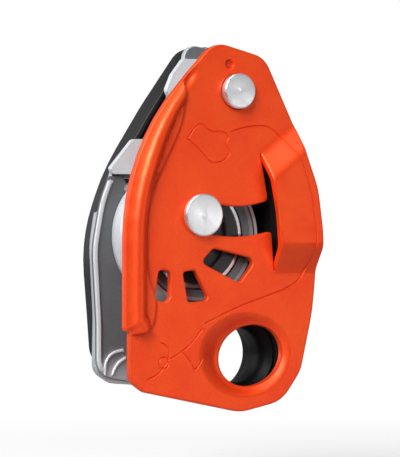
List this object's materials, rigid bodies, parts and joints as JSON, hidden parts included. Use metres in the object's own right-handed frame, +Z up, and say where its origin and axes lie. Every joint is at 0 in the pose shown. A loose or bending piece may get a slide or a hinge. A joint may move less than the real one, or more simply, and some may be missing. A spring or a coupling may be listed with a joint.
{
  "type": "rope descender",
  "caption": "Rope descender: swinging side plate over a fixed plate, a grooved wheel on an eccentric braking cam between them, and a folding release handle behind.",
  "frame": {"origin": "middle of the throat of the attachment bush, on its axis", "axes": "+X to the right and +Z up as seen looking at the moving side plate; +Y from the moving side plate to the handle, along every pivot axis"},
  "size_m": [0.068, 0.042, 0.113],
  "materials": {
    "orange_sheet": "orange anodised and lacquered aluminium sheet, satin",
    "grey_sheet": "tumbled aluminium sheet",
    "polished_steel": "stainless sheet, brushed",
    "wear_steel": "stainless wear sheet, worn smooth by the rope",
    "rivet_steel": "turned steel, bare",
    "wheel_metal": "turned aluminium, bright",
    "cam_steel": "dark grey cast steel",
    "black_nylon": "moulded glass-filled nylon",
    "black_bush": "moulded hard nylon, smooth",
    "bronze": "sintered bronze bush",
    "spring_wire": "spring steel"
  },
  "bodies": {
    "body_frame": {"fixed_side_plate": "grey_sheet", "rope_wear_insert": "wear_steel", "wear_insert_rivets": "polished_steel", "brake_guide": "polished_steel", "brake_guide_rivets": "polished_steel", "rope_guard": "black_nylon", "guard_screws": "rivet_steel", "attachment_bush": "black_bush", "plate_pivot_axle": "rivet_steel", "pivot_wave_washer": "spring_wire", "pivot_sleeve": "polished_steel", "cam_axle": "rivet_steel", "cam_thrust_washer": "polished_steel", "axle_rear_collar": "polished_steel", "axle_rear_head": "rivet_steel", "crank_spacer": "polished_steel", "cam_stop_pin": "rivet_steel", "cam_return_spring": "spring_wire"},
    "side_plate": {"moving_side_plate": "orange_sheet", "side_plate_bush": "bronze"},
    "cam": {"eccentric_cam": "cam_steel", "cam_bush": "bronze", "wheel_retaining_ring": "spring_wire"},
    "wheel": {"wheel_bush": "bronze", "wheel_front_flange": "wheel_metal", "wheel_rear_flange": "wheel_metal", "rope_ring": "wheel_metal", "wheel_rivets": "rivet_steel"},
    "crank": {"release_crank": "polished_steel", "crank_bush": "bronze", "crank_drive_pin": "rivet_steel", "handle_hinge_pin": "rivet_steel", "handle_wave_washer": "spring_wire"},
    "handle": {"handle_grip": "black_nylon", "handle_core": "grey_sheet"}
  },
  "joints": [
    {"name": "side_plate_swing", "type": "hinge", "parent": "body_frame", "child": "side_plate", "pos_m": [-0.0056, 0, 0.0809], "axis": [0, 1, 0], "range_deg": [0, 100]},
    {"name": "cam_pivot", "type": "hinge", "parent": "body_frame", "child": "cam", "pos_m": [-0.018, 0, 0.0432], "axis": [0, 1, 0], "range_deg": [0, 25], "stiffness_Nm_per_rad": 0.12, "springref_deg": -20.05},
    {"name": "wheel_spin", "type": "hinge", "parent": "cam", "child": "wheel", "pos_m": [-0.0165, 0, 0.0368], "axis": [0, 1, 0], "continuous": true},
    {"name": "crank_pull", "type": "hinge", "parent": "body_frame", "child": "crank", "pos_m": [-0.018, 0, 0.0432], "axis": [0, -1, 0], "range_deg": [0, 20], "stiffness_Nm_per_rad": 0.2, "springref_deg": -34.38},
    {"name": "handle_fold", "type": "hinge", "parent": "crank", "child": "handle", "pos_m": [-0.0306, 0, 0.0064], "axis": [0, -1, 0], "range_deg": [0, 140]}
  ]
}
